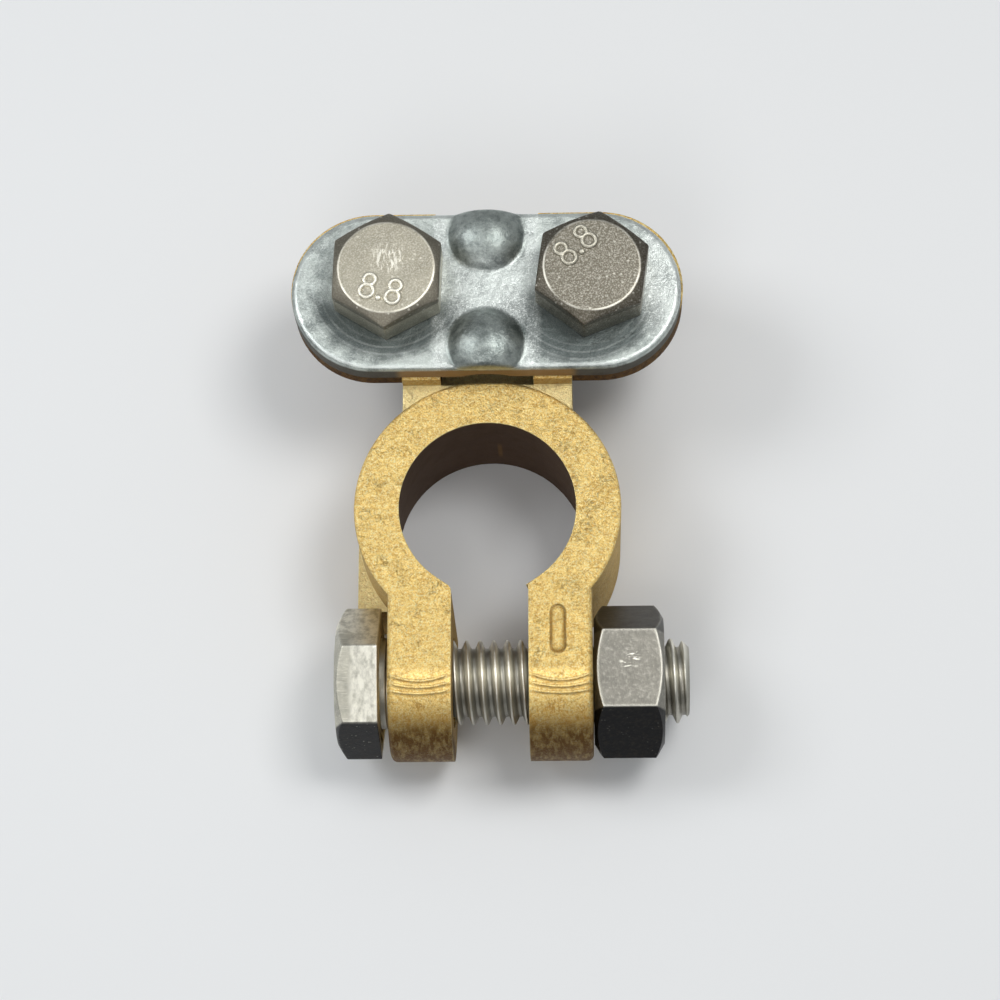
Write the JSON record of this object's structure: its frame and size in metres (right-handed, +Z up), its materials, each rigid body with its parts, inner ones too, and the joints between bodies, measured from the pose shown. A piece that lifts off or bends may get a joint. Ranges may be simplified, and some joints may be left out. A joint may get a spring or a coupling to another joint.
{
  "type": "battery terminal clamp",
  "caption": "Split-ring clamp that grips a tapered battery post with a pinch bolt and holds a stripped cable under a bolted saddle plate.",
  "frame": {"origin": "on the axis of the post bore, at the ring's bottom face", "axes": "+Z up the post bore, +Y from the ring to the cable bed, +X towards the nut of the pinch bolt"},
  "size_m": [0.0365, 0.0504, 0.0217],
  "materials": {
    "cast_body": "as cast, satin",
    "plate": "zinc plated, satin",
    "saddle_screws": "zinc plated, satin",
    "pinch_screw": "zinc plated, satin",
    "pinch_nut": "zinc plated, satin"
  },
  "bodies": {
    "body": {"clamp_body": "cast_body"},
    "plate": {"clamp_plate": "plate"},
    "left_screw": {"plate_bolt_left": "saddle_screws"},
    "right_screw": {"plate_bolt_right": "saddle_screws"},
    "pinch_screw": {"pinch_bolt": "pinch_screw"},
    "nut": {"pinch_nut": "pinch_nut"}
  },
  "joints": [
    {"name": "nut_turn", "type": "hinge", "parent": "body", "child": "nut", "pos_m": [0.0096, -0.01475, 0.00725], "axis": [-1, 0, 0], "range_deg": [-1800, 173]},
    {"name": "bolt_draw", "type": "slide", "parent": "body", "child": "pinch_screw", "axis": [1, 0, 0], "range_m": [-0.00625, 0.0006]},
    {"name": "plate_lift", "type": "slide", "parent": "body", "child": "plate", "axis": [0, 0, 1], "range_m": [0, 0.005]},
    {"name": "plate_bolt_left_turn", "type": "hinge", "parent": "plate", "child": "left_screw", "pos_m": [-0.009, 0.02075, 0.01775], "axis": [0, 0, 1], "range_deg": [0, 1800]},
    {"name": "plate_bolt_right_turn", "type": "hinge", "parent": "plate", "child": "right_screw", "pos_m": [0.0098, 0.02075, 0.01775], "axis": [0, 0, 1], "range_deg": [0, 1800]}
  ],
  "couplings": [
    {"joint": "nut_turn", "follows": "bolt_draw", "rad_per_m": 5026.5},
    {"joint": "plate_bolt_left_turn", "follows": "plate_lift", "rad_per_m": 6283.1},
    {"joint": "plate_bolt_right_turn", "follows": "plate_lift", "rad_per_m": 6283.1}
  ]
}
